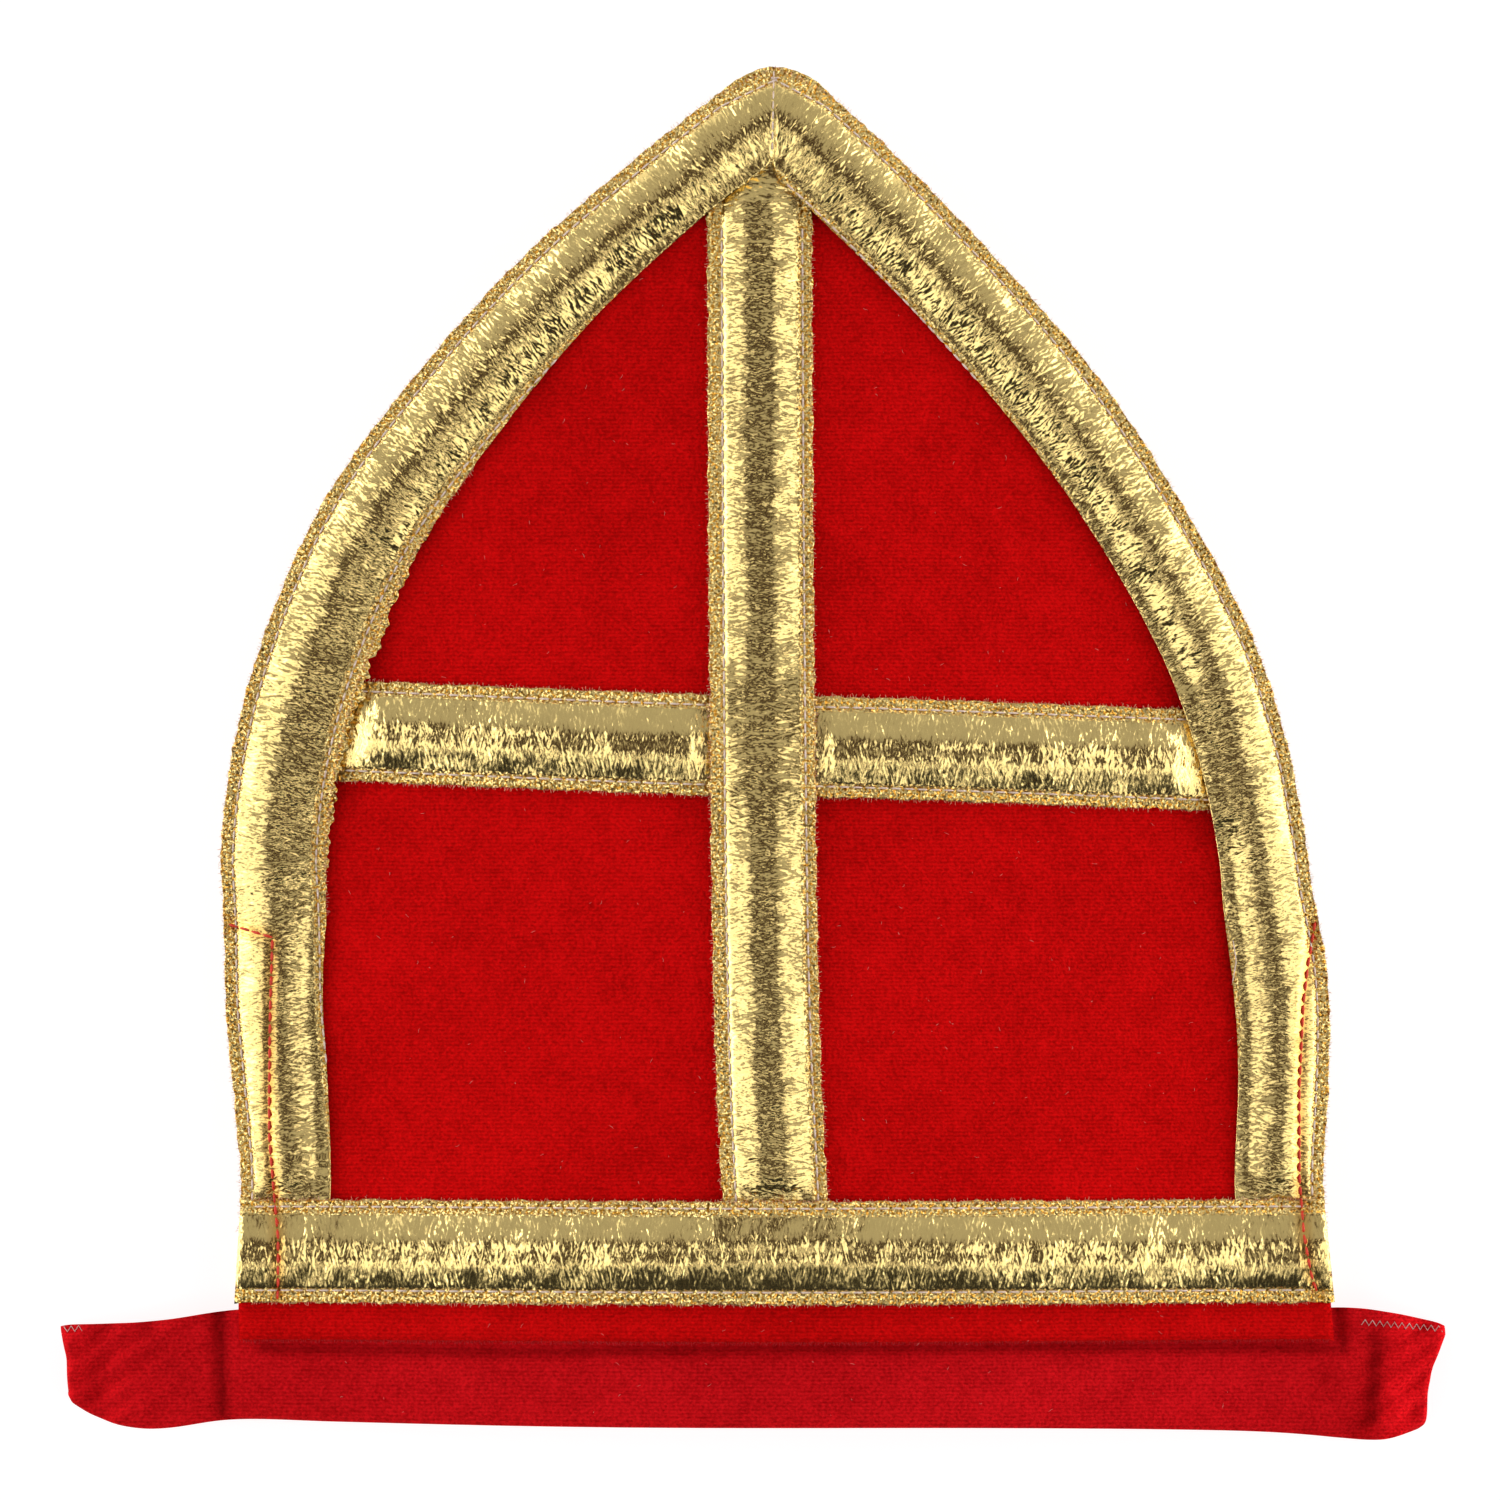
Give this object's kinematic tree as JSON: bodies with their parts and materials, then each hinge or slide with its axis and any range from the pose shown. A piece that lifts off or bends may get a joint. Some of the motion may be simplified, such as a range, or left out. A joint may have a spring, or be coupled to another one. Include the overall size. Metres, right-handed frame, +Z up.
{
  "type": "bishop mitre",
  "caption": "Soft pointed mitre of red velour with padded gold ribbon borders and cross on front and back, a separate doubled headband, lying flat on its back.",
  "frame": {"origin": "on the surface that the mitre lies on, under the middle of the back panel's base ribbon", "axes": "+Z up off the surface, from the back panel to the front panel; +Y from the mouth to the point; +X to the right seen from above with the point up, which is the wearer's left"},
  "size_m": [0.2998, 0.2966, 0.0353],
  "materials": {
    "panel_velour": "short brushed pile",
    "band_velour": "short brushed pile",
    "gold_ribbon": "crinkled metallic foil knit"
  },
  "bodies": {
    "root": {"front_panel": "panel_velour", "back_panel": "panel_velour", "headband": "band_velour", "front_arch_ribbon": "gold_ribbon", "front_upright": "gold_ribbon", "front_crossbar": "gold_ribbon", "front_base_ribbon": "gold_ribbon", "back_arch_ribbon": "gold_ribbon", "back_upright": "gold_ribbon", "back_crossbar": "gold_ribbon", "back_base_ribbon": "gold_ribbon"}
  },
  "joints": []
}
